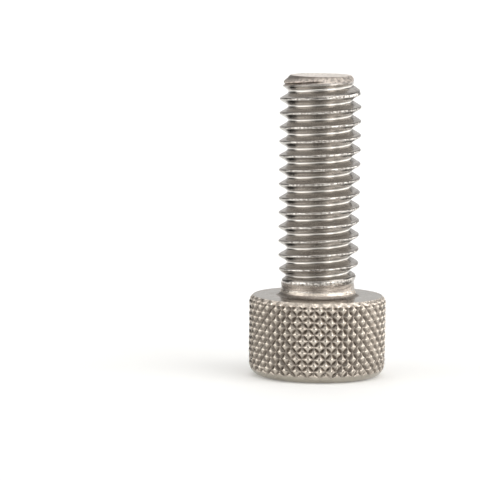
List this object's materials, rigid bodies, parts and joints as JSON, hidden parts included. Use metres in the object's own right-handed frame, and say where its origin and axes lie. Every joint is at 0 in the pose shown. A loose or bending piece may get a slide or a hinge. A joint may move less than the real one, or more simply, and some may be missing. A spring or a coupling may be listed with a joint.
{
  "type": "hex socket cap screw",
  "caption": "Cap screw with a knurled cylindrical head, a hexagonal socket, a short plain neck and a metric coarse right-hand thread up to a bevelled tip.",
  "frame": {"origin": "centre of the head's flat socket end, where the screw stands on its head", "axes": "+Z along the screw's axis, from the socket end towards the tip of the thread; +X through a corner of the socket's hexagon"},
  "size_m": [0.0098, 0.0098, 0.0214],
  "materials": {
    "steel": "satin"
  },
  "bodies": {
    "root": {"cap_screw": "steel"}
  },
  "joints": []
}
